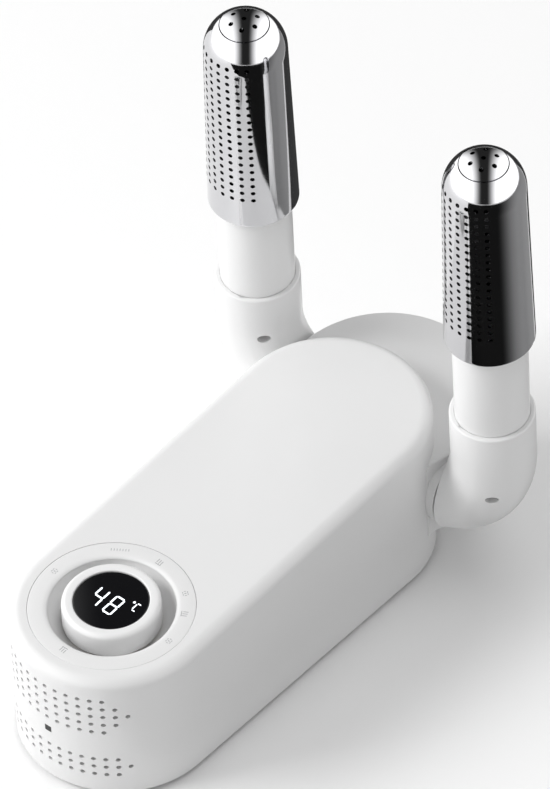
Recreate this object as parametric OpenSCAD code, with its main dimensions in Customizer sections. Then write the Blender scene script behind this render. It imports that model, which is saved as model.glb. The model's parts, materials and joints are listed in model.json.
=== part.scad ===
// Boot dryer: a low housing with a knob and display on its sloping top, a round hub behind it,
// and two swivelling arms whose telescopic tubes carry perforated nozzles.
// Front is -Y, up is +Z. The origin is on the floor, under the middle of the housing.

/* [Housing] */
// Distance between the centres of the housing's two round ends
body_len = 154.5; // [130:0.5:190]
// Radius of the round ends, half of the width
body_r = 47.7; // [46:0.1:58]
// Height of the top face over the lower edge, measured at the knob
body_h = 76.6; // [74:0.2:95]
// Slope of the top face, down towards the knob, in degrees
slope = 3.2; // [1:0.1:5]
// Radius of the rounded top edge
edge_r = 6; // [4:0.5:9]
// Thickness of the housing's wall
wall = 2.2; // [1.8:0.1:2.8]
// Draft of the side walls, in degrees
draft = 0.5; // [0:0.1:1]

/* [Hub and swivels] */
// How far the hub's centre lies behind the centre of the rear end
hub_back = 39.2; // [30:0.2:44]
// How much larger than the housing's end the hub is, in radius
hub_swell = 2.3; // [2:0.1:6]
// Depth of the hub's top under the housing's top face
hub_drop = 22.2; // [16:0.1:28]
// Height of the hub
hub_h = 47.6; // [47.6:0.1:52]
// How far the swivels sit in front of the hub's centre
swivel_lead = 6; // [0:0.1:8]
// Outer radius of the round port on each side of the hub
port_r = 21.2; // [20.4:0.1:22]
// Radius of the elbow's face against the hub
seam_r = 22.2; // [21:0.1:22.8]
// Outer radius of the elbow's spigot, which turns in the port
spigot_r = 16.5; // [14:0.1:17.4]

/* [Tubes and nozzles] */
// Outer radius of the telescopic tube
tube_r = 17.5; // [16:0.1:17.8]
// Wall of the telescopic tube
tube_wall = 1.8; // [1.2:0.1:2.4]
// Wall of the elbow round the tube
collar_wall = 2.5; // [2:0.1:3.2]
// Height of the collar's mouth over the housing's top face
collar_top = 18.3; // [10:0.1:26]
// Length of tube that shows when the nozzle is pulled out
tube_show = 51.8; // [46:0.1:60]
// Length of tube that is held in the elbow's collar
tube_hold = 21.3; // [16:0.1:22]
// Radius of the nozzle at its open end
nozzle_r1 = 21.2; // [20.2:0.1:21.6]
// Radius of the nozzle under its dome
nozzle_r2 = 19.4; // [19.3:0.1:20.6]
// Length of the nozzle's straight part
nozzle_len = 96.7; // [80:0.1:116]
// Wall of the nozzle
nozzle_wall = 0.8; // [0.6:0.1:0.9]
// Radius of the round cap in the nozzle's tip
cap_r = 11.6; // [9:0.1:13]
// Radius of the small air holes
air_hole_r = 1; // [0.7:0.05:1.2]

/* [Knob] */
// Outer radius of the rotary ring
knob_r = 23; // [21.5:0.1:23.4]
// Height of the ring over the housing's top face
knob_up = 4.4; // [3:0.1:8]
// Radius of the display window
display_r = 17.5; // [15:0.1:18]
// Radius of the bowl round the knob
bowl_r = 29.5; // [29:0.1:31]
// Radius of the bowl's hollow curve, which is also its depth
bowl_depth = 12; // [11.5:0.1:13]
// Outer radius of the disc with the marks
icon_r = 38.6; // [36:0.1:40]
// How far the display can be pressed down
press_travel = 1; // [0.4:0.1:1.2]

/* [Fan and heater] */
// Width and height of the fan's square frame
fan_w = 62; // [56:1:66]
// Depth of the fan
fan_d = 20; // [18:0.5:25]
// Distance of the fan behind the knob's axis
fan_y = 46; // [40:0.5:50]
// Depth of the fan's axis under the top face
fan_drop = 38; // [36:0.5:39]
// Depth of the heater
heater_d = 20; // [16:0.5:24]
// Outer width of the air duct
duct_w = 56; // [40:1:60]
// Outer height of the air duct
duct_h = 38; // [36:0.5:42]

/* [Base] */
// Thickness of the base cover
base_t = 2.4; // [2:0.1:3]
// Height of the feet
foot_h = 2.6; // [2:0.1:4]
// Radius of the feet
foot_r = 7; // [5:0.5:8]

/* [Clearances] */
// Gap beside a shaft or tube that turns or slides
run = 0.05; // [0.02:0.01:0.1]
// Gap round pieces that are laid in a seat
seat = 0.15; // [0.1:0.05:0.3]
// Gap between pieces that move past each other
pass = 0.3; // [0.2:0.05:0.5]

/* [Hidden] */
$fn = 96;
far = 600;
hub_r = body_r + hub_swell;
hub_y = body_len + hub_back;
swivel_y = hub_y - swivel_lead;
hub_bottom = hub_drop + hub_h;
hub_edge = 1;
swivel_z = -(hub_drop + hub_h / 2);
port_x = hub_r;
blend_r = 9;
blend_step = 0.12;

// The frame of the floor: the knob's axis meets the top face at knob_y, knob_z.
front_y = -(body_r - edge_r) * cos(slope) - edge_r + edge_r * sin(slope);
rear_y = (hub_y + hub_r - hub_edge) * cos(slope) + (hub_bottom - hub_edge) * sin(slope) + hub_edge;
knob_y = -(front_y + rear_y) / 2;
knob_z = foot_h + body_h;

// Arms
elbow_r = tube_r + run + collar_wall;
arm_x = port_x + pass + elbow_r;
leg_z = -4;
elbow_path = [[port_x + pass, swivel_z], [port_x + 12, swivel_z + 8.3], [arm_x + 1.2, leg_z - 20], [arm_x, leg_z]];
air_r = 13.5;
bush_wall = 2;
bush_flange_r = spigot_r + run + bush_wall + 0.6;
bush_flange_t = 1.5;
port_depth = 7;
clip_t = 1.5;
clip_x = port_x - port_depth - bush_flange_t - pass - clip_t;
spigot_end = clip_x - 2.2;
spigot_wall = 2.5;
cross_r = hub_h / 2 - 4.6;
cross_end = spigot_end - 0.5;
seal_t = 2;

// Tubes and nozzles
tube_low = collar_top - tube_hold;
nozzle_low = collar_top + tube_show;
nozzle_grip = 9;
stop_h = 1.5;
base_h = nozzle_grip - 3;
tube_top = nozzle_low + nozzle_grip;
dome_z = nozzle_low + nozzle_len;
hole_rows = 19;
row_pitch = 4.62;
row_first = nozzle_low + 17.5;
column_pitch = 14;

// Knob
icon_t = 1.5;
well_flange_t = 1.5;
well_wall = 1.8;
well_flange_r = 33;
bowl_x = bowl_r - bowl_depth;
knob_down = 9;
lip = 1.6;
lens_t = 1.5;
lens_top = knob_up - 0.7;
carrier_r = knob_r - 3;
carrier_top = lens_top - lens_t;
disc_t = 1.6;
stem_r = 6;
stem_low = 23.5;
board_z = -30.6;
board_t = 1.6;
post_x = 17;
post_y = 15;

// Housing details
vent_r = 1.2;
vent_step = 6.9;
vent_rows = [-12.3, -17.6, -22.9, -28.3, -33.6];
low_vent_rows = [-52.5, -57.7, -62.9];
window_z = -41.8;
window_w = 3.8;
inlet_w = 24;
inlet_h = 12.6;
inlet_z = -hub_bottom - 1.8 - inlet_h / 2;
inlet_back = 22;
screw_r = 1.5;
boss_h = 24;
boss_r = 4.6;
boss_x = body_r - wall - boss_r + 0.6;
boss_places = [[-1, 12], [1, 12], [-1, body_len - 6], [1, body_len - 6]];
foot_x = body_r - foot_r - 3.6;
foot_places = [[-1, 0], [1, 0], [-1, body_len - 25], [1, body_len - 25]];

// Fan, heater and duct
fan_bore = fan_w / 2 - 1.5;
rotor_r = fan_bore - 1;
cup_r = 14;
motor_r = 12;
shaft_r = 1.5;
heater_y = fan_y + fan_d;
gasket_y = heater_y + heater_d;
gasket_t = 2;
duct_y = gasket_y + gasket_t;
duct_wall = 1.8;
duct_end = swivel_y - cross_r + 4;

// Frames: level() is the floor's frame under the knob, sloped() that of the top face,
// left() and right() put an arm's piece on its side.
module level() translate([0, knob_y, 0]) children();
module sloped() translate([0, knob_y, knob_z]) rotate([slope, 0, 0]) children();
module right() sloped() children();
module left() sloped() mirror([1, 0, 0]) children();

// Everything under the housing's lower edge, for cutting pieces level.
module ground(z = foot_h) level() translate([-far / 2, -far / 2, z - far]) cube([far, far, far]);

// Shapes about the X and Y axes
module rod_x(r, x0, x1) translate([x0, 0, 0]) rotate([0, 90, 0]) cylinder(r = r, h = x1 - x0);
module rod_y(r, y0, y1) translate([0, y0, 0]) rotate([-90, 0, 0]) cylinder(r = r, h = y1 - y0);
module block(x, y, z) translate([x[0], y[0], z[0]]) cube([x[1] - x[0], y[1] - y[0], z[1] - z[0]]);
module swivel_place() translate([0, swivel_y, swivel_z]) children();
module arm_place() translate([arm_x, swivel_y, 0]) children();

// Half of the housing's section, moved in by a distance: radius against height.
module half_section(inset, depth) {
    r = body_r - inset;
    e = max(edge_r - inset, 0.5);
    low_r = r - depth * tan(draft);
    translate([r - e, -inset - e]) circle(r = e);
    polygon([[0, -inset], [r - e, -inset], [r - e, -inset - e], [r, -inset - e], [low_r, -depth], [0, -depth]]);
}

// The long round-ended solid of the housing, moved in by a distance.
module stadium(inset = 0, depth = 110) {
    rotate([0, 0, 180]) rotate_extrude(angle = 180) half_section(inset, depth);
    translate([0, body_len, 0]) rotate_extrude(angle = 180) half_section(inset, depth);
    translate([0, body_len, 0]) rotate([90, 0, 0]) linear_extrude(body_len) {
        half_section(inset, depth);
        mirror([1, 0]) half_section(inset, depth);
    }
}

// The round hub, with rounded edges, moved in by a distance.
module hub(inset = 0) {
    e = max(hub_edge - inset, 0.5);
    r = hub_r - inset;
    translate([0, hub_y, 0]) rotate_extrude() {
        translate([0, -hub_bottom + inset + e]) square([r, hub_h - 2 * inset - 2 * e]);
        translate([0, -hub_bottom + inset]) square([r - e, hub_h - 2 * inset]);
        translate([r - e, -hub_drop - inset - e]) circle(r = e);
        translate([r - e, -hub_bottom + inset + e]) circle(r = e);
    }
}

// The fillet that blends the hub's side into the housing's side.
module hub_blend() {
    a = body_r + blend_r;
    b = hub_r + blend_r;
    along = (hub_back * hub_back + a * a - b * b) / (2 * hub_back);
    across = sqrt(a * a - along * along);
    for (side = [-1, 1])
        translate([0, body_len, -hub_bottom + hub_edge]) linear_extrude(hub_h - 2 * hub_edge) difference() {
            polygon([[0, 0], [0, hub_back], [side * across, along]]);
            translate([side * across, along]) circle(r = blend_r - blend_step);
        }
}

module port_solid() for (side = [-1, 1])
    swivel_place() rod_x(port_r, side > 0 ? port_x - port_depth : -port_x, side > 0 ? port_x : -port_x + port_depth);

module radial_holes(columns, heights) for (c = columns) for (z = heights)
    rotate([0, 0, c * vent_step]) translate([0, 0, z]) rod_y(vent_r, -body_r - 1, -body_r + wall + 2);

// Intake holes in the front: two fields whose ends taper to one hole.
module intake_holes() {
    radial_holes([-5:5], vent_rows);
    radial_holes([-6, 6], [vent_rows[1], vent_rows[2], vent_rows[3]]);
    radial_holes([-7, 7], [vent_rows[2]]);
    radial_holes([-6:6], low_vent_rows);
    radial_holes([-7, 7], [low_vent_rows[1]]);
}

module inlet_box(grow = 0) block([-inlet_w / 2 - grow, inlet_w / 2 + grow],
    [body_len + body_r - inlet_back, body_len + body_r + 5],
    [inlet_z - inlet_h / 2 - grow, inlet_z + inlet_h / 2 + grow]);

// One moulding: housing, hub and side ports, open underneath.
module upper_shell() color("whitesmoke") difference() {
    union() {
        sloped() {
            difference() {
                union() {
                    stadium();
                    hub();
                    hub_blend();
                    port_solid();
                }
                stadium(wall);
                hub(wall);
                intake_holes();
                inlet_box(seat);
                block([-window_w / 2, window_w / 2], [-body_r - 1, 0], [window_z - window_w / 2, window_z + window_w / 2]);
            }
            // Seat of the marked disc and the knob's bowl, under the top face
            translate([0, 0, -icon_t - well_flange_t - 2]) cylinder(r = icon_r + 1.6, h = icon_t + well_flange_t + 1.5);
            // Walls round the side ports
            port_solid();
        }
        // Screw bosses on the side walls
        level() for (p = boss_places)
            translate([p[0] * boss_x, p[1], foot_h + base_t]) cylinder(r = boss_r, h = boss_h);
    }
    sloped() {
        translate([0, 0, -icon_t]) cylinder(r = icon_r + seat, h = icon_t + 1);
        translate([0, 0, -icon_t - well_flange_t]) cylinder(r = well_flange_r + seat, h = 10);
        translate([0, 0, -20]) cylinder(r = bowl_r + 1.8, h = 30);
        swivel_place() rod_x(spigot_r + run + bush_wall + run, -far / 2, far / 2);
        swivel_place() rod_x(bush_flange_r + seat, port_depth - port_x, port_x - port_depth);
    }
    level() for (p = boss_places)
        translate([p[0] * boss_x, p[1], foot_h]) cylinder(r = screw_r - 0.25, h = 16);
    ground();
}

// Level plate that closes the housing, with posts for the fan, the heater and the duct.
module base_cover() color("gainsboro") {
    difference() {
        sloped() stadium(wall + seat);
        ground();
        level() translate([-far / 2, -far / 2, foot_h + base_t]) cube([far, far, far]);
        level() {
            for (p = boss_places)
                translate([p[0] * boss_x, p[1], 0]) {
                    cylinder(r = screw_r + 0.1, h = 20);
                    cylinder(r = 3.2, h = foot_h + 1.2);
                }
            for (p = foot_places)
                translate([p[0] * foot_x, p[1], 0]) cylinder(r = foot_r + seat, h = foot_h + 1);
        }
    }
    difference() {
        sloped() {
            for (y = [fan_y + 3, heater_y + 4])
                block([-22, 22], [y, y + 3], [-far / 4, -fan_drop - fan_w / 2]);
            for (y = [duct_y + 12, duct_end - 30])
                block([-18, 18], [y, y + 3], [-far / 4, swivel_z - duct_h / 2]);
        }
        ground(foot_h + base_t);
    }
}

module base_screws() color("silver") level() for (p = boss_places)
    translate([p[0] * boss_x, p[1], foot_h]) {
        translate([0, 0, 0.4]) cylinder(r = 3, h = 0.8);
        translate([0, 0, 0.4]) cylinder(r = screw_r - 0.25, h = 13);
    }

module feet() color("dimgray") level() for (p = foot_places)
    translate([p[0] * foot_x, p[1], 0]) cylinder(r = foot_r, h = foot_h + 1);

module icon_ring() color("whitesmoke") sloped() difference() {
    translate([0, 0, -icon_t]) cylinder(r = icon_r, h = icon_t);
    translate([0, 0, -icon_t - 1]) cylinder(r = bowl_r, h = icon_t + 2);
}

// The bowl: a hollow curve from the rim to a flat floor, with a guide for the stem.
module knob_well() color("white") sloped() difference() {
    union() {
        rotate_extrude() difference() {
            union() {
                translate([0, -bowl_depth - well_wall]) square([bowl_x, well_wall]);
                translate([bowl_x, 0]) circle(r = bowl_depth + well_wall);
                translate([bowl_x, -icon_t - well_flange_t]) square([well_flange_r - bowl_x, well_flange_t]);
            }
            translate([bowl_x, 0]) circle(r = bowl_depth);
            translate([-far / 2, -icon_t]) square([far, far / 2]);
            translate([-far / 2, -far / 2]) square([far / 2, far]);
            translate([0, -bowl_depth]) square([bowl_x, bowl_depth]);
        }
        translate([0, 0, -stem_low + 1.5]) cylinder(r = stem_r + 2.4, h = stem_low - 1.5 - bowl_depth);
        for (x = [-post_x, post_x]) for (y = [-post_y, post_y])
            translate([x, y, board_z]) cylinder(r = 3, h = -board_z - bowl_depth - 0.2);
    }
    translate([0, 0, -far / 2]) cylinder(r = stem_r + run, h = far);
}

// The ring that turns: a rounded collar with a lip over the display's edge.
module knob_ring() color("white") sloped() difference() {
    rotate_extrude() {
        translate([knob_r - 2, knob_up - 2]) circle(r = 2);
        translate([0, -knob_down]) square([knob_r, knob_down + knob_up - 2]);
        translate([0, -knob_down]) square([knob_r - 2, knob_down + knob_up]);
    }
    translate([0, 0, -far / 2]) cylinder(r = display_r + 0.2, h = far);
    translate([0, 0, -far / 2]) cylinder(r = carrier_r + run, h = far / 2 + carrier_top - lip + pass);
    translate([0, 0, -far / 2]) cylinder(r = carrier_r + 1.6, h = far / 2 - knob_down + disc_t + pass);
}

module display_lens() color("black") sloped()
    translate([0, 0, lens_top - lens_t]) cylinder(r = display_r - 0.1, h = lens_t);

// Lamp block behind the window, in the carrier's pocket
module display_module() color("darkslategray") sloped() {
    translate([0, 0, carrier_top - 4]) cylinder(r = display_r - 2.4, h = 1.2);
    for (x = [-9, -1])
        block([x, x + 7], [-7, 7], [carrier_top - 2.8, carrier_top - 0.4]);
    block([7, 12], [-3, 3], [carrier_top - 2.8, carrier_top - 0.4]);
}

// What is pressed: it holds the window, guides the ring and slides in the bowl.
module display_carrier() color("gainsboro") sloped() difference() {
    union() {
        translate([0, 0, -knob_down + disc_t]) cylinder(r = carrier_r, h = knob_down - disc_t + carrier_top - lip);
        translate([0, 0, 0]) cylinder(r = display_r - 0.1, h = carrier_top);
        translate([0, 0, -stem_low]) cylinder(r = stem_r, h = stem_low - 2);
    }
    translate([0, 0, carrier_top - 4]) cylinder(r = display_r - 2, h = 6);
}

module encoder_disc() color("goldenrod") sloped()
    translate([0, 0, -knob_down]) difference() {
        cylinder(r = carrier_r + 1.2, h = disc_t);
        translate([0, 0, -1]) cylinder(r = stem_r + 0.1, h = disc_t + 2);
    }

module push_switch() color("dimgray") sloped() {
    block([-6, 6], [-6, 6], [board_z, board_z + 4]);
    translate([0, 0, board_z + 4]) cylinder(r = 2, h = -stem_low - 0.3 - press_travel - board_z - 4);
}

module indicator_window() color([0.15, 0.13, 0.13]) sloped() intersection() {
    stadium();
    union() {
        block([-window_w / 2 + 0.1, window_w / 2 - 0.1], [-body_r - 1, -body_r + wall + 1.5],
            [window_z - window_w / 2 + 0.1, window_z + window_w / 2 - 0.1]);
        block([-3.4, 3.4], [-body_r + wall + 0.9, -body_r + wall + 3], [window_z - 3.4, window_z + 3.4]);
    }
}

module square_frame(y0, y1, w, opening) difference() {
    block([-w / 2, w / 2], [y0, y1], [-fan_drop - w / 2, -fan_drop + w / 2]);
    block([-opening / 2, opening / 2], [y0 - 1, y1 + 1], [-fan_drop - opening / 2, -fan_drop + opening / 2]);
}

module filter_frame() color("gainsboro") sloped() square_frame(fan_y - 3.5, fan_y, fan_w, fan_w - 6);

module filter_mesh() color("dimgray") sloped() {
    w = fan_w - 6.4;
    for (k = [-3:3]) {
        translate([k * w / 7, fan_y - 2, -fan_drop]) cube([0.6, 0.8, w], center = true);
        translate([0, fan_y - 1.6, -fan_drop + k * w / 7]) cube([w, 0.8, 0.6], center = true);
    }
    square_frame(fan_y - 2.4, fan_y - 1.2, w, w - 2);
}

module fan_corners() for (x = [-1, 1]) for (z = [-1, 1])
    translate([x * (fan_w / 2 - 4), 0, -fan_drop + z * (fan_w / 2 - 4)]) children();

module fan_frame() color("black") sloped() difference() {
    union() {
        difference() {
            block([-fan_w / 2, fan_w / 2], [fan_y, fan_y + fan_d], [-fan_drop - fan_w / 2, -fan_drop + fan_w / 2]);
            translate([0, 0, -fan_drop]) rod_y(fan_bore, fan_y - 1, fan_y + fan_d + 1);
        }
        translate([0, 0, -fan_drop]) {
            rod_y(motor_r + 1, fan_y + fan_d - 3, fan_y + fan_d);
            for (a = [45:90:315])
                rotate([0, a, 0]) block([motor_r - 1, fan_bore + 1], [fan_y + fan_d - 3, fan_y + fan_d], [-1.5, 1.5]);
        }
    }
    fan_corners() rod_y(screw_r + 0.1, fan_y - 1, fan_y + fan_d + 1);
    fan_corners() rod_y(3.2, fan_y - 1, fan_y + 2.2);
}

module fan_screws() color("silver") sloped() fan_corners() {
    rod_y(3, fan_y + 0.2, fan_y + 2.2);
    rod_y(screw_r, fan_y + 2.2, fan_y + fan_d + 8);
}

module fan_motor() color("darkgoldenrod") sloped() translate([0, 0, -fan_drop]) difference() {
    rod_y(motor_r, fan_y + 5, fan_y + fan_d - 3);
    rod_y(shaft_r + run, fan_y, fan_y + fan_d);
}

// Cup over the motor, its shaft and seven pitched blades
module impeller() color("dimgray") sloped() translate([0, 0, -fan_drop]) {
    difference() {
        rod_y(cup_r, fan_y + 3, fan_y + fan_d - 4.5);
        rod_y(motor_r + 0.5, fan_y + 4.6, fan_y + fan_d);
    }
    rod_y(shaft_r, fan_y + 4, fan_y + fan_d - 3.4);
    intersection() {
        difference() {
            rod_y(rotor_r, fan_y + 3, fan_y + fan_d - 4.5);
            rod_y(cup_r - 0.6, fan_y, fan_y + fan_d);
        }
        for (k = [0:6])
            rotate([0, k * 360 / 7, 0]) translate([rotor_r / 2, fan_y + fan_d / 2 - 1, 0])
                rotate([50, 0, 0]) cube([rotor_r, 20, 1.4], center = true);
    }
}

module heater_frame() color("burlywood") sloped() difference() {
    square_frame(heater_y, heater_y + heater_d, fan_w, fan_w - 12);
    fan_corners() rod_y(screw_r + run, heater_y - 1, heater_y + 9);
}

// Stack of heating bars with fins between them
module heater_fins() color("silver") sloped() {
    w = fan_w - 12;
    for (k = [-2:2])
        translate([0, heater_y + heater_d / 2, -fan_drop + k * w / 5]) cube([w, heater_d - 8, 2.4], center = true);
    for (k = [-6:6])
        translate([k * w / 14, heater_y + heater_d / 2, -fan_drop]) cube([0.5, heater_d - 9, w], center = true);
}

module heater_terminals() color("gold") sloped() for (x = [-16, 16])
    block([x - 3, x + 3], [heater_y + 7, heater_y + 7.8], [-fan_drop + fan_w / 2, -fan_drop + fan_w / 2 + 2.4]);

module thermal_cutoff() color("silver") sloped()
    translate([0, heater_y + heater_d / 2, -fan_drop + fan_w / 2]) cylinder(r = 6, h = 2.2);

module air_sensor() color("black") sloped() translate([0, duct_y + 20, swivel_z + duct_h / 2]) {
    translate([0, 0, -7]) cylinder(r = 1.6, h = 7);
    cylinder(r = 3.4, h = 2);
}

module duct_gasket() color("darkslategray") sloped() square_frame(gasket_y, gasket_y + gasket_t, fan_w, fan_w - 14);

// A box from the heater, which opens into a cross tube between the two side ports
module air_duct() color("lightgray") sloped() difference() {
    union() {
        block([-duct_w / 2, duct_w / 2], [duct_y, duct_end], [swivel_z - duct_h / 2, swivel_z + duct_h / 2]);
        block([-fan_w / 2, fan_w / 2], [duct_y, duct_y + 2.4], [-fan_drop - fan_w / 2, -fan_drop + fan_w / 2]);
        swivel_place() rod_x(cross_r, -cross_end, cross_end);
    }
    block([-duct_w / 2 + duct_wall, duct_w / 2 - duct_wall], [duct_y - 1, duct_end - duct_wall],
        [swivel_z - duct_h / 2 + duct_wall, swivel_z + duct_h / 2 - duct_wall]);
    swivel_place() rod_x(cross_r - duct_wall, -far / 2, far / 2);
    translate([0, duct_y + 20, 0]) translate([0, 0, swivel_z]) cylinder(r = 1.6 + run, h = far / 4);
}

module control_board() color("darkgreen") sloped()
    block([-27, 27], [-24, 24], [board_z - board_t, board_z]);

module board_components() color("dimgray") sloped() translate([0, 0, board_z - board_t]) {
    block([-22, -6], [-20, -6], [-12, 0]);
    block([-4, 10], [-20, -8], [-9, 0]);
    block([-20, 4], [4, 18], [-14, 0]);
    for (y = [-16, 0, 16]) translate([19, y, -15]) cylinder(r = 5, h = 15);
}

module power_inlet() color("black") sloped() difference() {
    intersection() {
        stadium();
        inlet_box();
    }
    translate([0, body_len + body_r, inlet_z]) block([-8.4, 8.4], [-15, 8], [-4.4, 4.4]);
}

module inlet_pins() color("silver") sloped() for (x = [-5, 5])
    translate([x, body_len + body_r, inlet_z]) rod_y(1.2, -15, -6);

// Arm pieces, drawn on the right-hand side

module swivel_bush() color("ivory") swivel_place() difference() {
    union() {
        rod_x(spigot_r + run + bush_wall, port_x - port_depth - 1, port_x - 0.1);
        rod_x(bush_flange_r, port_x - port_depth - bush_flange_t, port_x - port_depth);
    }
    rod_x(spigot_r + run, 0, far / 2);
}

module retaining_ring() color("silver") swivel_place() difference() {
    rod_x(spigot_r + 1.8, clip_x, clip_x + clip_t);
    rod_x(spigot_r - 1.1, 0, far / 2);
}

module swivel_seal() color("dimgray") swivel_place() difference() {
    rod_x(cross_r, cross_end, cross_end + seal_t);
    rod_x(spigot_r + pass, 0, far / 2);
}

// A point of the elbow's curved axis, across and up
function path_at(t, p = elbow_path) =
    pow(1 - t, 3) * p[0] + 3 * t * pow(1 - t, 2) * p[1] + 3 * t * t * (1 - t) * p[2] + pow(t, 3) * p[3];

module elbow_balls(r, steps) for (k = steps) {
    p = path_at(k / 6);
    translate([p[0], swivel_y, p[1]]) sphere(r = r, $fn = 32);
}

// Two small oval air holes in the elbow's front
module elbow_vents() for (v = [[-46, -7.3], [36, -23]])
    arm_place() rotate([0, 0, v[0]]) translate([0, 0, v[1]]) {
        for (x = [-0.8, 0.8]) translate([x, 0, 0]) rod_y(2.4, -elbow_r - 2, -10);
        block([-0.8, 0.8], [-elbow_r - 2, -10], [-2.4, 2.4]);
    }

module elbow() color("white") difference() {
    union() {
        intersection() {
            hull() {
                swivel_place() rod_x(seam_r, port_x + pass, port_x + pass + 1.5, $fn = 48);
                elbow_balls(elbow_r, [1:5]);
                arm_place() translate([0, 0, leg_z - 1]) cylinder(r = elbow_r, h = 1, $fn = 48);
            }
            block([port_x + pass, far], [0, far], [-far, leg_z]);
        }
        arm_place() translate([0, 0, leg_z]) cylinder(r = elbow_r, h = collar_top - leg_z);
        swivel_place() rod_x(spigot_r, spigot_end, port_x + pass + 1);
    }
    hull() {
        swivel_place() rod_x(air_r, port_x, port_x + 2, $fn = 32);
        elbow_balls(air_r, [2:4]);
        arm_place() translate([0, 0, tube_low - 2]) cylinder(r = air_r, h = 1, $fn = 32);
    }
    swivel_place() rod_x(spigot_r - spigot_wall, 0, port_x + 1);
    arm_place() translate([0, 0, tube_low - 1.5]) cylinder(r = tube_r - tube_wall, h = far);
    arm_place() translate([0, 0, tube_low]) cylinder(r = tube_r + run, h = far);
    swivel_place() difference() {
        rod_x(spigot_r + 1, clip_x - run, clip_x + clip_t + run);
        rod_x(spigot_r - 1.1 - run, 0, far / 2);
    }
    elbow_vents();
}

// The fixed tube, with a groove for the ring that stops the nozzle
module tube() color("white") arm_place() difference() {
    translate([0, 0, tube_low]) cylinder(r = tube_r, h = tube_top - tube_low);
    translate([0, 0, tube_low - 1]) cylinder(r = tube_r - tube_wall, h = far);
    stop_place() difference() {
        cylinder(r = tube_r + 1, h = stop_h);
        translate([0, 0, -1]) cylinder(r = tube_r - 0.9, h = stop_h + 2);
    }
}

module stop_place() translate([0, 0, nozzle_low + 0.6 + base_h + pass]) children();

module tube_stop() color("dimgray") arm_place() stop_place() difference() {
    cylinder(r = tube_r + 0.2, h = stop_h);
    translate([0, 0, -1]) cylinder(r = tube_r - 0.9, h = stop_h + 2);
}

// Guide ring in the nozzle's foot, which slides on the tube
module nozzle_base() color("dimgray") arm_place() difference() {
    translate([0, 0, nozzle_low + 0.6]) cylinder(r = nozzle_r1 - nozzle_wall - seat - run, h = base_h);
    translate([0, 0, nozzle_low]) cylinder(r = tube_r + run, h = far);
}

module nozzle_solid(inset) {
    translate([0, 0, nozzle_low - inset]) cylinder(r1 = nozzle_r1 - inset, r2 = nozzle_r2 - inset, h = nozzle_len + inset);
    translate([0, 0, dome_z]) sphere(r = nozzle_r2 - inset);
}

module nozzle_air_holes() for (c = [-3:3]) for (k = [0:hole_rows - 1])
    rotate([0, 0, c * column_pitch]) translate([0, 0, row_first + k * row_pitch])
        rod_y(air_hole_r, -nozzle_r1 - 1, -nozzle_r2 + nozzle_wall + 1, $fn = 6);

module nozzle_shell() color("silver") arm_place() difference() {
    nozzle_solid(0);
    nozzle_solid(nozzle_wall);
    translate([0, 0, nozzle_low - 20]) cylinder(r = nozzle_r1 + 1, h = 20);
    translate([0, 0, dome_z]) cylinder(r = cap_r + seat, h = 40);
    nozzle_air_holes();
}

// Slotted sleeve that spreads the air behind the perforated wall
module nozzle_core() color("black") arm_place() difference() {
    translate([0, 0, nozzle_low + 0.6 + base_h]) cylinder(r = nozzle_r2 - nozzle_wall - 0.2, h = dome_z - nozzle_low - base_h);
    translate([0, 0, nozzle_low]) cylinder(r = tube_r + pass, h = far);
    for (c = [-3:2:3])
        rotate([0, 0, c * column_pitch]) block([-1.6, 1.6], [-30, 0], [row_first - 3, dome_z - 6]);
}

module nozzle_cap() color("silver") arm_place() difference() {
    union() {
        intersection() {
            difference() {
                translate([0, 0, dome_z]) sphere(r = nozzle_r2);
                translate([0, 0, dome_z]) sphere(r = nozzle_r2 - nozzle_wall);
            }
            translate([0, 0, dome_z]) cylinder(r = cap_r, h = 40);
        }
        // Snap skirt inside the dome
        intersection() {
            translate([0, 0, dome_z]) sphere(r = nozzle_r2 - nozzle_wall + 0.3);
            translate([0, 0, dome_z + 8]) difference() {
                cylinder(r = cap_r - 0.4, h = 20);
                translate([0, 0, -1]) cylinder(r = cap_r - 1.8, h = 22);
            }
        }
    }
    for (k = [0:6])
        rotate([0, 0, k * 60]) translate([k < 6 ? 6.4 : 0, 0, dome_z]) cylinder(r = air_hole_r + 0.15, h = 40);
}

upper_shell();
base_cover();
base_screws();
feet();
icon_ring();
knob_well();
knob_ring();
display_lens();
display_module();
display_carrier();
encoder_disc();
push_switch();
indicator_window();
filter_frame();
filter_mesh();
fan_frame();
fan_screws();
fan_motor();
impeller();
heater_frame();
heater_fins();
heater_terminals();
thermal_cutoff();
air_sensor();
duct_gasket();
air_duct();
control_board();
board_components();
power_inlet();
inlet_pins();
left() swivel_bush();  // left_swivel_bush
right() swivel_bush();  // right_swivel_bush
left() retaining_ring();  // left_retaining_ring
right() retaining_ring();  // right_retaining_ring
left() swivel_seal();  // left_swivel_seal
right() swivel_seal();  // right_swivel_seal
left() elbow();  // left_elbow
right() elbow();  // right_elbow
left() tube();  // left_tube
right() tube();  // right_tube
left() tube_stop();  // left_tube_stop
right() tube_stop();  // right_tube_stop
left() nozzle_base();  // left_nozzle_base
right() nozzle_base();  // right_nozzle_base
left() nozzle_shell();  // left_nozzle_shell
right() nozzle_shell();  // right_nozzle_shell
left() nozzle_core();  // left_nozzle_core
right() nozzle_core();  // right_nozzle_core
left() nozzle_cap();  // left_nozzle_cap
right() nozzle_cap();  // right_nozzle_cap
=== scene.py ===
import json
import math
import bpy
import bmesh
from mathutils import Matrix, Vector


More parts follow.
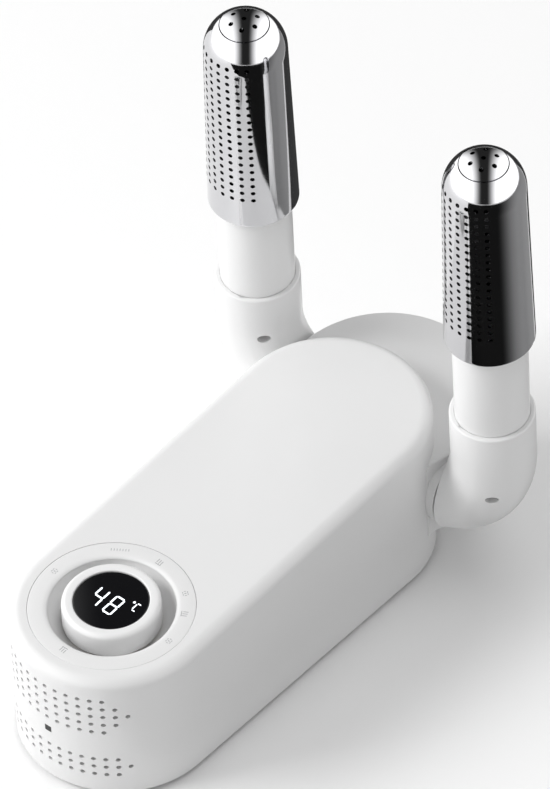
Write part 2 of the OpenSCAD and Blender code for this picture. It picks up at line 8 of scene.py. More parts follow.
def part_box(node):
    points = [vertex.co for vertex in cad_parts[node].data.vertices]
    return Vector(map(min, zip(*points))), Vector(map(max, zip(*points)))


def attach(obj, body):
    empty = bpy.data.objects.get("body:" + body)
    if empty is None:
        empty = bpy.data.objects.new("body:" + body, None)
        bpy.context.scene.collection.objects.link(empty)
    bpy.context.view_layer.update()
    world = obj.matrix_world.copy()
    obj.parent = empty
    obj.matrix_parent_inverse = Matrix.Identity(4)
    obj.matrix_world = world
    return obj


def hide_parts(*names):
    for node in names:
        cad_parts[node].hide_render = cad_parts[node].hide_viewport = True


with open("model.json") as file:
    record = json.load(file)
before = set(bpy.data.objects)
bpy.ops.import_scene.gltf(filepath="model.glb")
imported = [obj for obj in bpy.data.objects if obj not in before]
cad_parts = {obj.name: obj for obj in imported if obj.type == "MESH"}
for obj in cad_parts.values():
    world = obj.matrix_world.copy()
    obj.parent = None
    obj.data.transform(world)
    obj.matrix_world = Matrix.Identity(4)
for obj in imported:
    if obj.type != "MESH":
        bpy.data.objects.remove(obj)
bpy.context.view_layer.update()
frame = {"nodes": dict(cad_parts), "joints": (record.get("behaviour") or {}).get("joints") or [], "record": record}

mm = 0.001

# the sloping top's own frame: its origin is the knob's centre, its Z stands square to the top face
dialJoint = next(j for j in frame["joints"] if j["name"] == "dial_turn")
swivelJoint = next(j for j in frame["joints"] if j["name"] == "right_swivel")
knobCentre = Vector(dialJoint["pos_m"])
slope = math.atan2(-dialJoint["axis"][1], dialJoint["axis"][2])
slopeFrame = Matrix.Translation(knobCentre) @ Matrix.Rotation(slope, 4, "X")
intoSlope = slopeFrame.inverted()
swivelPoint = intoSlope @ Vector(swivelJoint["pos_m"])


def halfWidth(node):
    low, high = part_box(node)
    return (high.x - low.x) / 2


def middleX(node):
    low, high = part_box(node)
    return (high.x + low.x) / 2


# camera and lights

studio = {
    "azimuth": 40.1, "elevation": 45.2, "distance": 6.0, "lens": 602.3,
    "knobRight": -0.0743, "knobUp": -0.0961,   # where the knob sits from the middle of the view
    "sensor": 36, "reach": 20, "floor": 12.0, "floorTint": 0.97, "ambient": 0.44,
    "panelAim": (0, 0, 0.06),
    "panels": {
        "keyPanel": ((3.5, 3.0), 290, (-3.6, -3.3, 3.6)),
        "topPanel": ((3.0, 3.0), 30, (0.3, 0.8, 4.2)),
    },
}


def addCamera():
    a = math.radians(studio["azimuth"])
    e = math.radians(studio["elevation"])
    back = Vector((math.sin(a) * math.cos(e), -math.cos(a) * math.cos(e), math.sin(e)))
    right = Vector((math.cos(a), math.sin(a), 0))
    up = back.cross(right)
    aim = knobCentre - right * studio["knobRight"] - up * studio["knobUp"]
    data = bpy.data.cameras.new("viewCamera")
    data.lens = studio["lens"]
    data.sensor_width = studio["sensor"]
    data.clip_end = studio["reach"]
    camera = bpy.data.objects.new("viewCamera", data)
    bpy.context.scene.collection.objects.link(camera)
    camera.matrix_world = Matrix.Translation(aim + back * studio["distance"]) @ Matrix((
        (right.x, up.x, back.x, 0), (right.y, up.y, back.y, 0),
        (right.z, up.z, back.z, 0), (0, 0, 0, 1)))
    bpy.context.scene.camera = camera


def addLight(name, size, power, place):
    data = bpy.data.lights.new(name, "AREA")
    data.shape = "RECTANGLE"
    data.size, data.size_y = size
    data.energy = power
    lamp = bpy.data.objects.new(name, data)
    lamp.visible_glossy = False
    bpy.context.scene.collection.objects.link(lamp)
    lamp.location = place
    towards = Vector(studio["panelAim"]) - Vector(place)
    lamp.rotation_euler = towards.to_track_quat("-Z", "Y").to_euler()


# shader maths: a wire is one output socket, and an expression on wires adds Math nodes

class Wire:
    def __init__(self, paint, socket):
        self.paint = paint
        self.socket = socket

    def maths(self, operation, a, b=None):
        values = {0: a} if b is None else {0: a, 1: b}
        return self.paint.node("ShaderNodeMath", {"operation": operation}, values)

    def __add__(self, other):
        return self.maths("ADD", self, other)

    def __radd__(self, other):
        return self.maths("ADD", other, self)

    def __sub__(self, other):
        return self.maths("SUBTRACT", self, other)

    def __rsub__(self, other):
        return self.maths("SUBTRACT", other, self)

    def __mul__(self, other):
        return self.maths("MULTIPLY", self, other)

    def __rmul__(self, other):
        return self.maths("MULTIPLY", other, self)

    def __truediv__(self, other):
        return self.maths("DIVIDE", self, other)

    def __rtruediv__(self, other):
        return self.maths("DIVIDE", other, self)

    def __gt__(self, other):
        return self.maths("GREATER_THAN", self, other)

    def __lt__(self, other):
        return self.maths("LESS_THAN", self, other)


class Paint:
    def __init__(self, name, colour, rough, **constants):
        self.material = bpy.data.materials.new(name)
        self.material.use_nodes = True
        self.tree = self.material.node_tree
        self.shader = self.tree.nodes["Principled BSDF"]
        self.material.diffuse_color = (*colour, 1)
        self.shader.inputs["Base Color"].default_value = (*colour, 1)
        self.shader.inputs["Roughness"].default_value = rough
        for socket, value in constants.items():
            self.shader.inputs[socket.replace("_", " ")].default_value = value
        self.place = self.node("ShaderNodeTexCoord", {}, {}, "Object")

    def node(self, kind, settings=None, values=None, output=0):
        made = self.tree.nodes.new(kind)
        for key, value in (settings or {}).items():
            setattr(made, key, value)
        for key, value in (values or {}).items():
            if isinstance(value, Wire):
                self.tree.links.new(value.socket, made.inputs[key])
            else:
                made.inputs[key].default_value = value
        return Wire(self, made.outputs[output])

    def noise(self, scale, detail, place=None):
        place = place or self.place
        return self.node("ShaderNodeTexNoise", {}, {"Vector": place, "Scale": scale, "Detail": detail})

    def cells(self, scale):
        values = {"Vector": self.place, "Scale": scale}
        return self.node("ShaderNodeTexVoronoi", {"distance": "CHEBYCHEV"}, values)

    def part(self, axis):
        return self.node("ShaderNodeSeparateXYZ", {}, {0: self.place}, axis)

    def ease(self, value, low, high):
        values = {0: value, 1: low, 2: high}
        return self.node("ShaderNodeMapRange", {"interpolation_type": "SMOOTHSTEP"}, values)

    def blendColours(self, factor, first, second):
        # a Mix node keeps its colours at inputs 6 and 7 and gives the colour at output 2
        values = {0: factor, 6: (*first, 1), 7: (*second, 1)}
        return self.node("ShaderNodeMix", {"data_type": "RGBA"}, values, 2)

    def feed(self, socket, wire):
        self.tree.links.new(wire.socket, self.shader.inputs[socket])

    def bump(self, height, strength, distance):
        values = {"Strength": strength, "Distance": distance, "Height": height}
        self.feed("Normal", self.node("ShaderNodeBump", {}, values))


mould = {
    "driftScale": 18, "driftTint": 0.8, "driftGloss": 0.05, "darker": 0.955,
    "grainScale": 2600, "grainGloss": 0.03, "grainBump": 0.12, "grainDepth": 0.0001,
}


def moulded(name, colour, rough, grain=1.0, **constants):
    # fine spark-eroded grain with slow drifts of tint and gloss
    m = mould
    paint = Paint(name, colour, rough, **constants)
    drift = paint.noise(m["driftScale"], 4)
    fine = paint.noise(m["grainScale"], 2)
    darker = tuple(c * m["darker"] for c in colour)
    paint.feed("Base Color", paint.blendColours(drift * m["driftTint"], colour, darker))
    gloss = drift * m["driftGloss"] + fine * m["grainGloss"]
    paint.feed("Roughness", rough - 0.03 + gloss)
    paint.bump(fine, m["grainBump"] * grain, m["grainDepth"])
    return paint.material


drawn = {"lineScale": 260, "driftScale": 30, "driftTint": 0.7, "darker": 0.86, "streak": 0.05}


def metal(name, colour, rough, stretch=(1, 1, 30)):
    # fine lines along one axis, left by rolling or drawing
    d = drawn
    paint = Paint(name, colour, rough, Metallic=1.0)
    turned = paint.node("ShaderNodeMapping", {}, {"Vector": paint.place, "Scale": stretch})
    lines = paint.noise(d["lineScale"], 3, turned)
    drift = paint.noise(d["driftScale"], 2)
    darker = tuple(c * d["darker"] for c in colour)
    paint.feed("Base Color", paint.blendColours(drift * d["driftTint"], colour, darker))
    paint.feed("Roughness", rough + lines * d["streak"])
    return paint.material


def darkChrome():
    look = {"bright": (0.70, 0.70, 0.715), "deep": (0.62, 0.62, 0.635), "rough": 0.05}
    paint = Paint("darkChrome", look["bright"], look["rough"], Metallic=1.0)
    cloud = paint.noise(14, 3)
    haze = paint.noise(700, 3)
    paint.feed("Base Color", paint.blendColours(cloud, look["bright"], look["deep"]))
    paint.feed("Roughness", look["rough"] + haze * 0.03)
    paint.bump(paint.noise(55, 2), 0.05, 0.0004)
    return paint.material


def blackWindow():
    paint = Paint("blackWindow", (0.006, 0.006, 0.007), 0.05, Coat_Weight=1.0, Coat_Roughness=0.03)
    smear = paint.noise(90, 3)
    paint.feed("Roughness", 0.04 + smear * 0.05)
    return paint.material


def glow():
    paint = Paint("litFigures", (0.9, 0.95, 1.0), 0.4, Emission_Strength=1.15)
    flicker = paint.noise(900, 1)
    paint.feed("Emission Color", paint.blendColours(flicker, (0.93, 0.97, 1.0), (0.84, 0.9, 0.96)))
    return paint.material


def circuitBoard():
    paint = Paint("boardGreen", (0.03, 0.2, 0.09), 0.35, Coat_Weight=0.5)
    tracks = paint.cells(240) > 0.32
    paint.feed("Base Color", paint.blendColours(tracks, (0.02, 0.16, 0.07), (0.06, 0.3, 0.13)))
    return paint.material


def wovenFilter():
    paint = Paint("filterFabric", (0.3, 0.3, 0.3), 0.9)
    weave = paint.cells(900)
    paint.feed("Base Color", paint.blendColours(weave, (0.16, 0.16, 0.17), (0.4, 0.4, 0.41)))
    paint.bump(weave, 0.5, 0.0004)
    return paint.material


def printedMark():
    paint = Paint("printedMark", (0.62, 0.62, 0.63), 0.55)
    worn = paint.noise(1400, 2)
    paint.feed("Base Color", paint.blendColours(worn, (0.36, 0.36, 0.37), (0.48, 0.48, 0.49)))
    return paint.material


finishes = {
    "white_satin": moulded("satinWhite", (0.80, 0.80, 0.80), 0.42,
                           Coat_Weight=0.3, Coat_Roughness=0.22),
    "white_knob": moulded("knobWhite", (0.86, 0.86, 0.86), 0.3, 0.4, Coat_Weight=0.2),
    "white_arm": moulded("armWhite", (0.84, 0.84, 0.84), 0.3, 0.4, Coat_Weight=0.2),
    "grey_plastic": moulded("greyPlastic", (0.55, 0.55, 0.56), 0.5),
    "screw_steel": metal("zincSteel", (0.62, 0.62, 0.62), 0.25),
    "rubber_grey": moulded("softRubber", (0.16, 0.16, 0.165), 0.75, 2.0),
    "black_glass": blackWindow(),
    "lit_figures": glow(),
    "brass": metal("stampedBrass", (0.78, 0.58, 0.26), 0.28),
    "black_plastic": moulded("blackPlastic", (0.022, 0.022, 0.024), 0.48, 1.5),
    "filter_fabric": wovenFilter(),
    "motor_metal": metal("motorDrum", (0.52, 0.46, 0.38), 0.3, stretch=(1, 40, 1)),
    "heater_ceramic": moulded("pressedMica", (0.6, 0.5, 0.35), 0.7, 2.5),
    "aluminium_fins": metal("rolledFins", (0.74, 0.74, 0.76), 0.25, stretch=(30, 1, 1)),
    "board_green": circuitBoard(),
    "ivory_bush": moulded("bushIvory", (0.7, 0.66, 0.55), 0.45),
    "dark_chrome": darkChrome(),
}
markPaint = printedMark()
print("materials made:", len(finishes) + 1)

for part in frame["record"]["subparts"]:
    mesh = frame["nodes"][part["node"]].data
    mesh.materials.clear()
    mesh.materials.append(finishes[part["material_slot"]])


# mesh helpers

def arc(centre, radius, start, stop, count=8):
    turn = [math.radians(start + (stop - start) * k / count) for k in range(count + 1)]
    return [(centre[0] + radius * math.cos(t), centre[1] + radius * math.sin(t)) for t in turn]


def spun(outline, steps=128, closed=True):
    # turns an outline of radius and height about Z
    bm = bmesh.new()
    verts = [bm.verts.new((r, 0, z)) for r, z in outline]
    pairs = list(zip(verts, verts[1:])) + ([(verts[-1], verts[0])] if closed else [])
    edges = [bm.edges.new(pair) for pair in pairs]
    bmesh.ops.spin(bm, geom=verts + edges, cent=(0, 0, 0), axis=(0, 0, 1),
                   angle=math.tau, steps=steps, use_merge=True)
    bmesh.ops.remove_doubles(bm, verts=bm.verts, dist=1e-6)
    bmesh.ops.recalc_face_normals(bm, faces=bm.faces)
    return bm


def smoothShade(bm, angle):
    for face in bm.faces:
        face.smooth = True
    for edge in bm.edges:
        if len(edge.link_faces) == 2:
            edge.smooth = edge.calc_face_angle(0) < math.radians(angle)


def linkMesh(name, bm, materials):
    mesh = bpy.data.meshes.new(name)
    bm.to_mesh(mesh)
    bm.free()
    for material in materials:
        mesh.materials.append(material)
    piece = bpy.data.objects.new(name, mesh)
    bpy.context.scene.collection.objects.link(piece)
    return piece


def finish(name, bm, slot, body, nodes=(), place=slopeFrame, angle=35, material=None):
    bmesh.ops.transform(bm, matrix=place, verts=bm.verts)
    if place.determinant() < 0:
        bmesh.ops.recalc_face_normals(bm, faces=bm.faces)
    smoothShade(bm, angle)
    piece = linkMesh(name, bm, [material or finishes[slot]])
    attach(piece, body)
    if nodes:
        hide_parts(*nodes)
    return piece


def pour(source, target):
    # moves everything in one mesh into another
    scratch = bpy.data.meshes.new("scratch")
    source.to_mesh(scratch)
    source.free()
    target.from_mesh(scratch)
    bpy.data.meshes.remove(scratch)


def cutAway(bm, cutter):
    # exact difference of two closed meshes
    solid = linkMesh("solid", bm, [])
    tool = linkMesh("tool", cutter, [])
    step = solid.modifiers.new("cut", "BOOLEAN")
    step.operation = "DIFFERENCE"
    step.solver = "EXACT"
    step.object = tool
    graph = bpy.context.evaluated_depsgraph_get()
    result = bmesh.new()
    result.from_mesh(solid.evaluated_get(graph).to_mesh())
    solid.evaluated_get(graph).to_mesh_clear()
    for used in (solid, tool):
        data = used.data
        bpy.data.objects.remove(used)
        bpy.data.meshes.remove(data)
    return result


def addRod(bm, radius, low, high, place, sides=24):
    made = bmesh.ops.create_cone(bm, cap_ends=True, segments=sides,
                                 radius1=radius, radius2=radius, depth=high - low)
    bmesh.ops.translate(bm, vec=(0, 0, (low + high) / 2), verts=made["verts"])
    bmesh.ops.transform(bm, matrix=place, verts=made["verts"])


# housing: the moulding's own surface with its doubles merged

shell = {"merge": 0.002 * mm, "crease": 28}


def makeHousing():
    bm = bmesh.new()
    bm.from_mesh(frame["nodes"]["upper_shell"].data)
    bmesh.ops.remove_doubles(bm, verts=bm.verts, dist=shell["merge"])
    finish("housing", bm, "white_satin", "housing", ["upper_shell"], Matrix(), shell["crease"])


# dial: marked disc, bowl, ring, window and lit figures

dial = {
    "iconInner": 29.5 * mm, "iconThick": 1.5 * mm, "easeDisc": 0.35 * mm,
    "lipWide": 2.6 * mm, "lipDeep": 1.4 * mm,
    "bowlDepth": 12 * mm, "bowlWall": 1.6 * mm, "floorHole": 6.1 * mm,
    "ringUp": 4.4 * mm, "ringDown": 9 * mm, "ringRound": 2.4 * mm, "ringWall": 2.9 * mm,
    "footEase": 0.6 * mm, "mouthEase": 0.7 * mm, "ledge": 2.3 * mm,
    "windowGap": 0.25 * mm, "windowInset": 0.7 * mm, "windowEase": 0.3 * mm, "windowThick": 1.5 * mm,
}
windowTop = dial["ringUp"] - dial["windowInset"]


def makeIconDisc():
    outer = halfWidth("icon_ring")
    inner, thick, ease = dial["iconInner"], dial["iconThick"], dial["easeDisc"]
    wide, deep = dial["lipWide"], dial["lipDeep"]
    outline = arc((outer - ease, -ease), ease, 0, 90, 4)
    lip = [(inner + wide * (1 - r), -deep * (1 - z)) for z, r in arc((0, 0), 1, 90, 0, 10)]
    outline += lip[::-1]
    outline += [(inner, -thick), (outer, -thick)]
    finish("iconDisc", spun(outline, 160), "white_satin", "housing", ["icon_ring"], angle=60)


def makeBowl():
    d = dial
    x = d["iconInner"] - d["bowlDepth"]
    inside = arc((x, 0), d["bowlDepth"], -7, -90, 20)
    outside = arc((x, 0), d["bowlDepth"] + d["bowlWall"], -90, -12, 16)
    hole = [(d["floorHole"], -d["bowlDepth"]), (d["floorHole"], -d["bowlDepth"] - d["bowlWall"])]
    outline = inside + hole + outside
    finish("dialBowl", spun(outline), "white_satin", "housing", ["knob_well"], angle=50)


def makeDialRing():
    d = dial
    outer = halfWidth("knob_ring")
    inner = outer - d["ringWall"]
    window = halfWidth("display_lens") + d["windowGap"]
    foot, mouth, rounding = d["footEase"], d["mouthEase"], d["ringRound"]
    outline = [(outer - foot, -d["ringDown"]), (outer, -d["ringDown"] + foot)]
    outline += arc((outer - rounding, d["ringUp"] - rounding), rounding, 0, 90, 14)
    outline += arc((window + mouth, d["ringUp"] - mouth), mouth, 90, 180, 6)
    outline += [(window, d["ledge"]), (inner, d["ledge"]), (inner, -d["ringDown"])]
    finish("dialRing", spun(outline, 160), "white_knob", "dial", ["knob_ring"], angle=60)


def makeWindow():
    radius = halfWidth("display_lens")
    top, ease, thick = windowTop, dial["windowEase"], dial["windowThick"]
    outline = [(0, top)] + arc((radius - ease, top - ease), ease, 90, 0, 4)
    outline += [(radius, top - thick), (0, top - thick)]
    bm = spun(outline, closed=False)
    finish("displayWindow", bm, "black_glass", "display", ["display_lens"], angle=60)


# lengths of the lit figures and of the printed marks are in millimetres
figures = {
    "width": 5.4, "height": 11.6, "stroke": 0.86, "pitch": 8.8, "centre": (-1.6, -1.6),
    "thick": 0.06, "gap": 0.25, "signAt": (10.7, 5.0), "signHeight": 4.6, "signBar": 1.9,
    "signStroke": 0.6, "signShift": (0.9, -1.2), "degreeAt": (-1.6, 0.7), "degreeR": 0.62,
}
# which of a figure's seven bars are lit: top, upper left, upper right, middle, lower left,
# lower right, bottom
litBars = {"4": (0, 1, 1, 1, 0, 1, 0), "8": (1, 1, 1, 1, 1, 1, 1)}


def addBar(bm, x, y, length, stroke, upright, z, thick):
    # a flat bar with pointed ends
    half, side = length / 2, stroke / 2
    points = [(-half, 0), (-half + side, side), (half - side, side),
              (half, 0), (half - side, -side), (-half + side, -side)]
    if upright:
        points = [(-b, a) for a, b in points]
    face = bm.faces.new([bm.verts.new(((x + a) * mm, (y + b) * mm, z)) for a, b in points])
    pushed = bmesh.ops.extrude_face_region(bm, geom=[face])
    top = [v for v in pushed["geom"] if isinstance(v, bmesh.types.BMVert)]
    bmesh.ops.translate(bm, vec=(0, 0, thick * mm), verts=top)


def makeFigures():
    f = figures
    bm = bmesh.new()
    w, h = f["width"] - f["stroke"], (f["height"] - f["stroke"]) / 2
    for index, figure in enumerate("48"):
        x = f["centre"][0] + (index - 0.5) * f["pitch"]
        y = f["centre"][1]
        bars = [(0, h, w, False), (-w / 2, h / 2, h, True), (w / 2, h / 2, h, True), (0, 0, w, False),
                (-w / 2, -h / 2, h, True), (w / 2, -h / 2, h, True), (0, -h, w, False)]
        for lit, (bx, by, length, upright) in zip(litBars[figure], bars):
            if lit:
                addBar(bm, x + bx, y + by, length - f["gap"], f["stroke"], upright, windowTop, f["thick"])
    x, y = f["signAt"]
    right, up = f["signShift"]
    size, flat = f["signHeight"], f["signBar"]
    sign = [(0.2, size / 2, flat, False), (-0.8, 0, size - 1, True), (0.2, -size / 2, flat, False)]
    for bx, by, length, upright in sign:
        addBar(bm, x + bx + right, y + by + up, length, f["signStroke"], upright, windowTop, f["thick"])
    aside, above = f["degreeAt"]
    dot = Matrix.Translation(((x + aside) * mm, (y + above) * mm, windowTop))
    addRod(bm, f["degreeR"] * mm, 0, f["thick"] * mm, dot, 20)
    bmesh.ops.recalc_face_normals(bm, faces=bm.faces)
    finish("displayFigures", bm, "lit_figures", "display", ["display_module"])


marks = {
    "radius": 34.2, "thick": 0.02, "angles": (-34, 0, 39, 60, 90, 180, 270),
    "scale": {"count": 7, "pitch": 1.35, "length": 1.5, "stroke": 0.35},
    "comb": {"count": 3, "pitch": 1.2, "step": -0.2, "length": 2.6, "base": 3.4, "baseAt": -1.9},
    "star": {"count": 6, "radius": 1.3, "length": 1.1, "core": 1.2, "coreStroke": 0.5},
    "stroke": 0.4,
}


def markBars(index):
    # each bar's place, length, stroke and whether it is upright: a scale first, then combs and stars
    scale, comb, star, stroke = marks["scale"], marks["comb"], marks["star"], marks["stroke"]
    if index == 0:
        return [((k - 3) * scale["pitch"], 0, scale["length"], scale["stroke"], True)
                for k in range(scale["count"])]
    if index % 2:
        bars = [((k - 1) * comb["pitch"], comb["step"] * k, comb["length"], stroke, True)
                for k in range(comb["count"])]
        return bars + [(0, comb["baseAt"], comb["base"], stroke, False)]
    turns = [k * math.tau / star["count"] for k in range(star["count"])]
    bars = [(star["radius"] * math.cos(t), star["radius"] * math.sin(t), star["length"], stroke, k % 3 == 0)
            for k, t in enumerate(turns)]
    return bars + [(0, 0, star["core"], star["coreStroke"], True)]


def makeMarks():
    # small generic marks, spaced round the disc
    bm = bmesh.new()
    outward = Matrix.Translation((0, marks["radius"] * mm, 0))
    for index, angle in enumerate(marks["angles"]):
        part = bmesh.new()
        for x, y, length, stroke, upright in markBars(index):
            addBar(part, x, y, length, stroke, upright, 0, marks["thick"])
        turn = Matrix.Rotation(math.radians(-angle), 4, "Z")
        bmesh.ops.transform(part, matrix=turn @ outward, verts=part.verts)
        pour(part, bm)
    bmesh.ops.recalc_face_normals(bm, faces=bm.faces)
    finish("dialMarks", bm, "white_satin", "housing", material=markPaint)


# arms: elbow, tube, nozzle and cap, made on the right and mirrored for the left

arm = {
    "seamR": 22.2 * mm, "seamAhead": 0.3 * mm, "seamEase": 0.5 * mm, "seamGap": 0.9 * mm, "neckR": 20.4 * mm,
    "boreWall": 5.7 * mm, "plugDeep": 11.5 * mm, "legZ": -4 * mm, "rings": 28, "sides": 96,
    "pathOut": (12 * mm, 8.3 * mm), "pathIn": (1.2 * mm, 20 * mm),
    "collarTop": 18.3 * mm, "mouthEase": 1.0 * mm, "mouthGap": 0.3 * mm, "tubeGap": 0.05 * mm,
    "mouthDeep": 14 * mm,
    "ventAt": ((-46, -7.3), (36, -23)), "ventR": 2.4, "ventLong": 0.8, "ventDepth": 13, "ventPast": 3,
    "tubeLow": -3 * mm, "tubeInside": 9 * mm, "tubeWall": 1.8 * mm, "tubeEase": 0.4 * mm,
    "nozzleLow": 70.1 * mm, "nozzleLen": 96.7 * mm, "nozzleR2": 19.4 * mm, "nozzleWall": 0.8 * mm,
    "nozzleRows": 84, "lipEase": 0.25 * mm, "lipSoft": 0.02 * mm, "lipHigh": 0.3 * mm, "capGap": 0.15 * mm,
    "holeR": 1.12 * mm, "holeRows": 19, "rowPitch": 4.62 * mm, "rowFirst": 17.5 * mm, "columnPitch": 14,
    "holeColumns": 3, "capR": 11.6 * mm, "capHoleR": 1.15 * mm, "capHoleRing": 6.4 * mm, "capHoles": 6,
    "capEdge": 1.2, "capCut": (10 * mm, 25 * mm),
}
armX = middleX("right_tube")
armY = swivelPoint.y
tubeR = halfWidth("right_tube")
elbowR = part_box("right_elbow")[1].x - armX
nozzleR1 = halfWidth("right_nozzle_shell")
seamX = swivelPoint.x + arm["seamAhead"]
onArm = Matrix.Translation((armX, armY, 0))
forward = Matrix.Rotation(math.radians(90), 4, "X")


def elbowPoint(t):
    # a curve in X and Z from the seam up into the upright leg
    outX, outZ = arm["pathOut"]
    inX, inZ = arm["pathIn"]
    p = [Vector((seamX, swivelPoint.z)), Vector((swivelPoint.x + outX, swivelPoint.z + outZ)),
         Vector((armX + inX, arm["legZ"] - inZ)), Vector((armX, arm["legZ"]))]
    s = 1 - t
    return p[0] * s ** 3 + p[1] * 3 * t * s * s + p[2] * 3 * t * t * s + p[3] * t ** 3


def ringOf(bm, place, radius):
    made = bmesh.ops.create_circle(bm, cap_ends=False, segments=arm["sides"], radius=radius)
    bmesh.ops.transform(bm, matrix=place, verts=made["verts"])
    return list({edge for vert in made["verts"] for edge in vert.link_edges})


def makeElbowMesh():
    a = arm
    bm = bmesh.new()
    loops = []
    facing = Matrix.Rotation(math.radians(90), 4, "Y")
    inner = a["seamR"] - a["boreWall"]
    root = swivelPoint.x - a["plugDeep"]
    face = seamX + a["seamGap"]
    plug = ((root, inner), (seamX, inner), (seamX, a["neckR"]), (face, a["neckR"]),
            (face, a["seamR"] - a["seamEase"]))
    for x, radius in plug:
        loops.append(ringOf(bm, Matrix.Translation((x, armY, swivelPoint.z)) @ facing, radius))
    for k in range(a["rings"] + 1):
        t = k / a["rings"]
        p = elbowPoint(t)
        turn = 90 * (1 - (1 - t) ** 2)
        radius = elbowR + (a["seamR"] - elbowR) * (1 - t) ** 2
        lean = Matrix.Rotation(math.radians(90 - turn), 4, "Y")
        loops.append(ringOf(bm, Matrix.Translation((p[0], armY, p[1])) @ lean, radius))
    for edge in (e for loop in loops[len(plug):] for e in loop):
        for vert in edge.verts:
            vert.co.x = max(vert.co.x, face + a["seamEase"])
    top, ease = a["collarTop"], a["mouthEase"]
    mouth = [(elbowR, top - ease)] + arc((elbowR - ease, top - ease), ease, 0, 90, 5)
    gap, close = a["mouthGap"], a["tubeGap"]
    mouth += [(tubeR + gap, top), (tubeR + close, top - gap), (tubeR + close, top - a["mouthDeep"])]
    for radius, z in mouth:
        loops.append(ringOf(bm, Matrix.Translation((armX, armY, z)), radius))
    for first, second in zip(loops, loops[1:]):
        bmesh.ops.bridge_loops(bm, edges=first + second)
    bmesh.ops.holes_fill(bm, edges=[e for e in bm.edges if e.is_boundary])
    bmesh.ops.remove_doubles(bm, verts=bm.verts, dist=1e-6)
    bmesh.ops.recalc_face_normals(bm, faces=bm.faces)
    return cutAway(bm, ventCutter())


def ventCutter():
    # two oval vents in the elbow's front
    a = arm
    cutter = bmesh.new()
    for angle, z in a["ventAt"]:
        vent = bmesh.new()
        addRod(vent, a["ventR"] * mm, elbowR - a["ventDepth"] * mm, elbowR + a["ventPast"] * mm, forward, 40)
        bmesh.ops.scale(vent, vec=(1 + a["ventLong"] / a["ventR"], 1, 1), verts=vent.verts)
        turn = Matrix.Rotation(math.radians(angle), 4, "Z")
        place = onArm @ turn @ Matrix.Translation((0, 0, z * mm))
        bmesh.ops.transform(vent, matrix=place, verts=vent.verts)
        pour(vent, cutter)
    return cutter


def makeTubeMesh():
    low, ease = arm["tubeLow"], arm["tubeEase"]
    top = arm["nozzleLow"] + arm["tubeInside"]
    bore = tubeR - arm["tubeWall"]
    outline = [(tubeR, low)] + arc((tubeR - ease, top - ease), ease, 0, 90, 4)
    outline += [(bore, top), (bore, low)]
    bm = spun(outline)
    bmesh.ops.transform(bm, matrix=onArm, verts=bm.verts)
    return bm


def nozzleOutline():
    a = arm
    low, straight, rows = a["nozzleLow"], a["nozzleLen"], a["nozzleRows"]
    r1, r2, wall = nozzleR1, a["nozzleR2"], a["nozzleWall"]
    dome = low + straight
    seat = a["capR"] + a["capGap"]
    rim = math.degrees(math.acos(seat / r2))
    innerRim = math.degrees(math.acos(seat / (r2 - wall)))
    outside = [(r1 + (r2 - r1) * k / rows, low + straight * k / rows) for k in range(rows)]
    outside[0] = (r1 - a["lipEase"], low)
    outside.insert(1, (r1 - a["lipSoft"], low + a["lipHigh"]))
    outline = outside + arc((0, dome), r2, 0, rim, 28)
    inside = arc((0, dome), r2 - wall, innerRim, 0, 8)
    return outline + inside + [(r1 - wall, low)]


def makeNozzleMesh():
    a = arm
    bm = spun(nozzleOutline(), 112)
    cutter = bmesh.new()
    for column in range(-a["holeColumns"], a["holeColumns"] + 1):
        turn = Matrix.Rotation(math.radians(column * a["columnPitch"]), 4, "Z")
        for row in range(a["holeRows"]):
            z = a["nozzleLow"] + a["rowFirst"] + row * a["rowPitch"]
            place = turn @ Matrix.Translation((0, 0, z)) @ forward
            addRod(cutter, a["holeR"], a["nozzleR2"] - 3 * mm, nozzleR1 + 1 * mm, place, 16)
    return cutAway(bm, cutter)


def makeCapMesh():
    a = arm
    dome = a["nozzleLow"] + a["nozzleLen"]
    r2, wall = a["nozzleR2"], a["nozzleWall"]
    edge = math.degrees(math.acos(a["capR"] / r2))
    innerEdge = math.degrees(math.acos(a["capR"] / (r2 - wall)))
    outline = arc((0, dome), r2 - wall, 90, innerEdge, 10)
    outline += arc((0, dome), r2, edge + a["capEdge"], 90, 14)
    bm = spun(outline, 96, False)
    cutter = bmesh.new()
    low, high = (dome + z for z in a["capCut"])
    for k in range(a["capHoles"] + 1):
        x = a["capHoleRing"] if k < a["capHoles"] else 0
        turn = Matrix.Rotation(math.radians(360 / a["capHoles"] * k), 4, "Z")
        addRod(cutter, a["capHoleR"], low, high, turn @ Matrix.Translation((x, 0, 0)))
    return cutAway(bm, cutter)


def makeArms():
    made = {"elbow": makeElbowMesh(), "tube": makeTubeMesh(),
            "nozzle": makeNozzleMesh(), "cap": makeCapMesh()}
    # each piece's slot, body, node and smoothing angle
    plan = {
        "elbow": ("white_arm", "arm", "elbow", 30),
        "tube": ("white_arm", "arm", "tube", 50),
        "nozzle": ("dark_chrome", "nozzle", "nozzle_shell", 40),
        "cap": ("dark_chrome", "nozzle", "nozzle_cap", 40),
    }
    for side, flip in (("right", 1), ("left", -1)):
        for key, (slot, body, node, angle) in plan.items():
            bm = made[key].copy()
            place = slopeFrame @ Matrix.Diagonal((flip, 1, 1, 1))
            if key in ("nozzle", "cap"):
                place = place @ onArm
            finish(side + key.capitalize(), bm, slot, f"{side}_{body}", [f"{side}_{node}"], place, angle)
    for bm in made.values():
        bm.free()


# stage: pale floor, two soft panels, and cards that only mirrors see

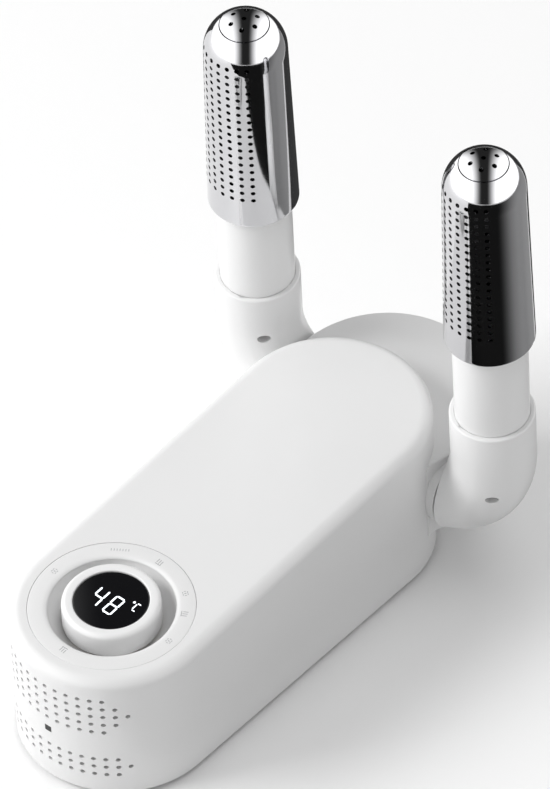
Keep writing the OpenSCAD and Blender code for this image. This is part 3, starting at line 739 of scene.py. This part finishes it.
mirrors = {
    "skyRadius": 5.0, "skyStrength": 1.9, "darkUnder": 0.12, "lightOver": 0.62, "strip": 0.012,
    "cardHigh": 0.3 * mm,
    "cards": {
        "rightCard": {"x": (0.06, 2.5), "y": (-2.5, 2.5), "tints": (0.01, 0.36), "turn": (-20, 45)},
        "backCard": {"x": (-2.5, 0.04), "y": (0.22, 2.5), "tints": (0.03, 0.05), "turn": (-180, 180)},
    },
}


def mirrorOnly(card):
    card.visible_camera = False
    card.visible_diffuse = False
    card.visible_shadow = False
    card.visible_transmission = False


def addCards():
    # flat cards whose tint changes with the direction seen from the right arm
    armPoint = slopeFrame @ Vector((armX, armY, 0))
    for name, card in mirrors["cards"].items():
        bm = bmesh.new()
        corners = [(card["x"][a], card["y"][b]) for a, b in ((0, 0), (1, 0), (1, 1), (0, 1))]
        bm.faces.new([bm.verts.new((x, y, mirrors["cardHigh"])) for x, y in corners])
        dark, light = card["tints"]
        paint = Paint(name + "Paint", (dark,) * 3, 1.0, Specular_IOR_Level=0.0)
        across = paint.part("X") - armPoint.x
        along = paint.part("Y") - armPoint.y
        angle = paint.node("ShaderNodeMath", {"operation": "ARCTAN2"}, {0: along, 1: across})
        turned = paint.ease(angle, *(math.radians(turn) for turn in card["turn"]))
        paint.feed("Base Color", paint.blendColours(turned, (dark,) * 3, (light,) * 3))
        mirrorOnly(linkMesh(name, bm, [paint.material]))


def addMirrorSky():
    # two wide soft lights, left and right of the viewer, with a dark strip between them overhead
    m = mirrors
    bm = bmesh.new()
    bmesh.ops.create_uvsphere(bm, u_segments=48, v_segments=24, radius=m["skyRadius"])
    bmesh.ops.bisect_plane(bm, geom=bm.verts[:] + bm.edges[:] + bm.faces[:],
                           plane_co=(0, 0, 0), plane_no=(0, 0, 1), clear_inner=True)
    paint = Paint("mirrorSkyPaint", (0, 0, 0), 1.0,
                  Emission_Strength=m["skyStrength"], Specular_IOR_Level=0.0)
    a = math.radians(studio["azimuth"])
    sideways = paint.part("X") * math.cos(a) + paint.part("Y") * math.sin(a)
    offside = paint.node("ShaderNodeMath", {"operation": "ABSOLUTE"}, {0: sideways / m["skyRadius"]})
    light = paint.ease(offside, m["darkUnder"], m["lightOver"])
    paint.feed("Emission Color", paint.blendColours(light, (m["strip"],) * 3, (1, 1, 1)))
    mirrorOnly(linkMesh("mirrorSky", bm, [paint.material]))


def addStage():
    bm = bmesh.new()
    bmesh.ops.create_grid(bm, x_segments=1, y_segments=1, size=studio["floor"])
    tint = studio["floorTint"]
    floorPaint = Paint("paleFloor", (tint,) * 3, 0.9, Specular_IOR_Level=0.1)
    grain = floorPaint.noise(3, 2)
    floorPaint.feed("Base Color", floorPaint.blendColours(grain, (tint,) * 3, (tint - 0.01,) * 3))
    floor = linkMesh("floor", bm, [floorPaint.material])
    world = bpy.data.worlds.new("studioWorld")
    bpy.context.scene.world = world
    world.use_nodes = True
    background = world.node_tree.nodes["Background"]
    background.inputs["Color"].default_value = (1, 1, 1, 1)
    background.inputs["Strength"].default_value = studio["ambient"]
    world.cycles_visibility.glossy = False
    for name, (size, power, place) in studio["panels"].items():
        addLight(name, size, power, place)
    addCards()
    addMirrorSky()
    bpy.context.scene.view_settings.view_transform = "Standard"


addCamera()
makeHousing()
print("housing made")
makeIconDisc()
makeBowl()
makeDialRing()
makeWindow()
makeFigures()
makeMarks()
print("dial made")
makeArms()
print("arms made")
addStage()
print("stage made")
